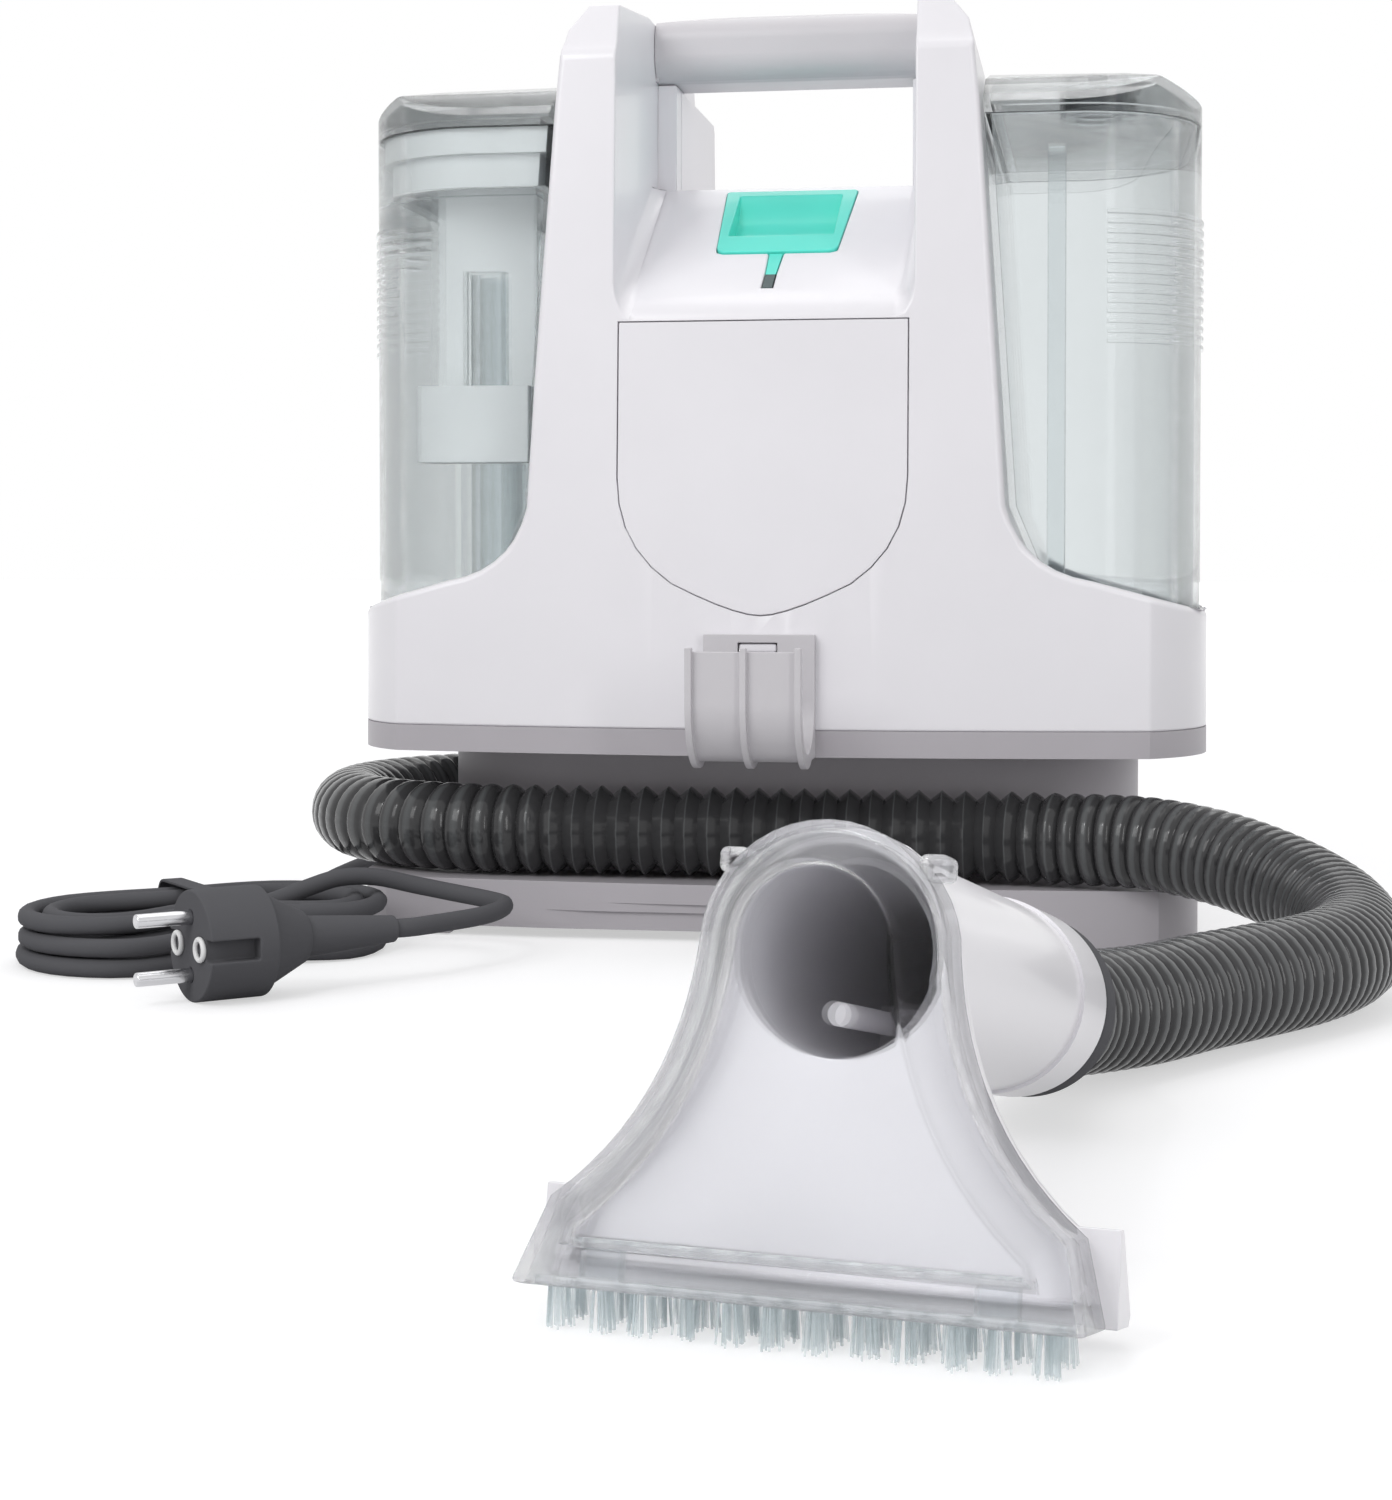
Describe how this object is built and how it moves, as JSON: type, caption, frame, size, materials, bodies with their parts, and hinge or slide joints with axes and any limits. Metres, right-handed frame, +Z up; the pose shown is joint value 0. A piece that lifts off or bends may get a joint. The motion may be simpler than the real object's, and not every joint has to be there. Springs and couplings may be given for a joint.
{
  "type": "portable spot extractor",
  "caption": "Portable spot extractor: white body with two clear lift-off tanks, carry handle, ribbed hose wrapped round the base, hand tool with trigger, and a mains lead in a hank.",
  "frame": {"origin": "on the floor under the centre of the base, 4 mm below the middle of the base's underside", "axes": "+X to the clean tank, -Y to the front, +Z up"},
  "size_m": [0.4886, 0.8064, 0.369],
  "materials": {
    "white_shell": "satin white moulding",
    "grey_base": "fine-grained grey moulding",
    "light_grey": "fine-grained light grey moulding",
    "aqua": "smooth aqua moulding",
    "clear_tank": "clear smoke-green moulding",
    "white_inner": "plain white moulding",
    "black_rubber": "matt rubber",
    "black_cord": "satin black cord",
    "black_plastic": "matt black moulding",
    "hose_grey": "ribbed flexible tube",
    "steel": "plain steel",
    "motor": "cast housing",
    "board": "laminate",
    "tube_clear": "soft clear tube",
    "bristle": "clear nylon"
  },
  "bodies": {
    "machine": {"base_pan": "grey_base", "rubber_feet": "black_rubber", "base_screws": "steel", "skirt_band": "grey_base", "front_shell": "white_shell", "rear_shell": "white_shell", "shell_bolts": "steel", "front_cover": "white_shell", "handle_bar": "light_grey", "exhaust_grille": "grey_base", "tool_hook": "light_grey", "button_spring": "steel", "light_guide": "aqua", "power_switch": "black_plastic", "control_board": "board", "fan_tray": "grey_base", "suction_motor": "motor", "motor_bearings": "steel", "motor_mount": "black_rubber", "fan_housing": "light_grey", "air_duct": "light_grey", "dirty_duct": "light_grey", "hose_port": "grey_base", "port_gaskets": "black_rubber", "water_pump": "black_plastic", "water_line": "tube_clear", "cord_gland": "black_rubber", "nozzle_cover": "clear_tank", "nozzle_back": "white_shell", "brush_plate": "clear_tank", "bristles": "bristle", "spray_jet": "light_grey", "tool_grip": "white_shell", "tool_cuff": "black_rubber", "spray_valve": "light_grey", "suction_hose": "hose_grey", "mains_lead": "black_cord", "cord_hank": "black_cord", "cord_tie": "black_plastic", "cord_tail": "black_cord", "plug_body": "black_plastic", "plug_pins": "steel"},
    "dirty_tank": {"dirty_tank": "clear_tank", "pipe_stack": "clear_tank", "separator": "white_inner", "float_guide": "white_inner"},
    "float": {"float": "white_inner"},
    "dirty_lid": {"dirty_lid": "clear_tank", "dirty_lid_seal": "black_rubber"},
    "latch": {"lid_latch": "clear_tank"},
    "clean_tank": {"clean_tank": "clear_tank", "valve_body": "white_inner"},
    "clean_lid": {"clean_lid": "clear_tank", "clean_lid_seal": "black_rubber"},
    "filler_cap": {"filler_cap": "light_grey"},
    "plunger": {"valve_plunger": "black_plastic"},
    "button": {"power_button": "aqua"},
    "impeller": {"impeller": "motor"},
    "trigger": {"trigger": "light_grey"},
    "valve_stem": {"valve_stem": "steel"}
  },
  "joints": [
    {"name": "dirty_tank_lift", "type": "slide", "parent": "machine", "child": "dirty_tank", "axis": [0, 0, 1], "range_m": [0, 0.1]},
    {"name": "clean_tank_lift", "type": "slide", "parent": "machine", "child": "clean_tank", "axis": [0, 0, 1], "range_m": [0, 0.1]},
    {"name": "dirty_lid_lift", "type": "slide", "parent": "dirty_tank", "child": "dirty_lid", "axis": [0, 0, 1], "range_m": [0, 0.04]},
    {"name": "clean_lid_lift", "type": "slide", "parent": "clean_tank", "child": "clean_lid", "axis": [0, 0, 1], "range_m": [0, 0.04]},
    {"name": "filler_cap_lift", "type": "slide", "parent": "clean_lid", "child": "filler_cap", "axis": [0, 0, 1], "range_m": [0, 0.02]},
    {"name": "latch_swing", "type": "hinge", "parent": "dirty_lid", "child": "latch", "pos_m": [-0.1674, 0, 0.316], "axis": [0, 1, 0], "range_deg": [0, 100]},
    {"name": "float_rise", "type": "slide", "parent": "dirty_tank", "child": "float", "axis": [0, 0, 1], "range_m": [0, 0.042]},
    {"name": "plunger_lift", "type": "slide", "parent": "clean_tank", "child": "plunger", "axis": [0, 0, 1], "range_m": [0, 0.003], "stiffness_N_per_m": 120, "springref_m": -0.002},
    {"name": "power_press", "type": "slide", "parent": "machine", "child": "button", "axis": [0, 0.5, -0.866], "range_m": [0, 0.0025], "stiffness_N_per_m": 600, "springref_m": -0.002},
    {"name": "fan_spin", "type": "hinge", "parent": "machine", "child": "impeller", "pos_m": [0, 0.012, 0.14], "axis": [0, 0, 1], "continuous": true},
    {"name": "trigger_squeeze", "type": "hinge", "parent": "machine", "child": "trigger", "pos_m": [0.08333, -0.54582, 0.03487], "axis": [0.9848, -0.1736, 0], "range_deg": [0, 4], "stiffness_Nm_per_rad": 0.6, "springref_deg": -5.73},
    {"name": "stem_push", "type": "slide", "parent": "machine", "child": "valve_stem", "axis": [0.0379, 0.2148, 0.9759], "range_m": [0, 0.0025]}
  ],
  "couplings": [
    {"joint": "stem_push", "follows": "trigger_squeeze", "m_per_rad": 0.034}
  ]
}
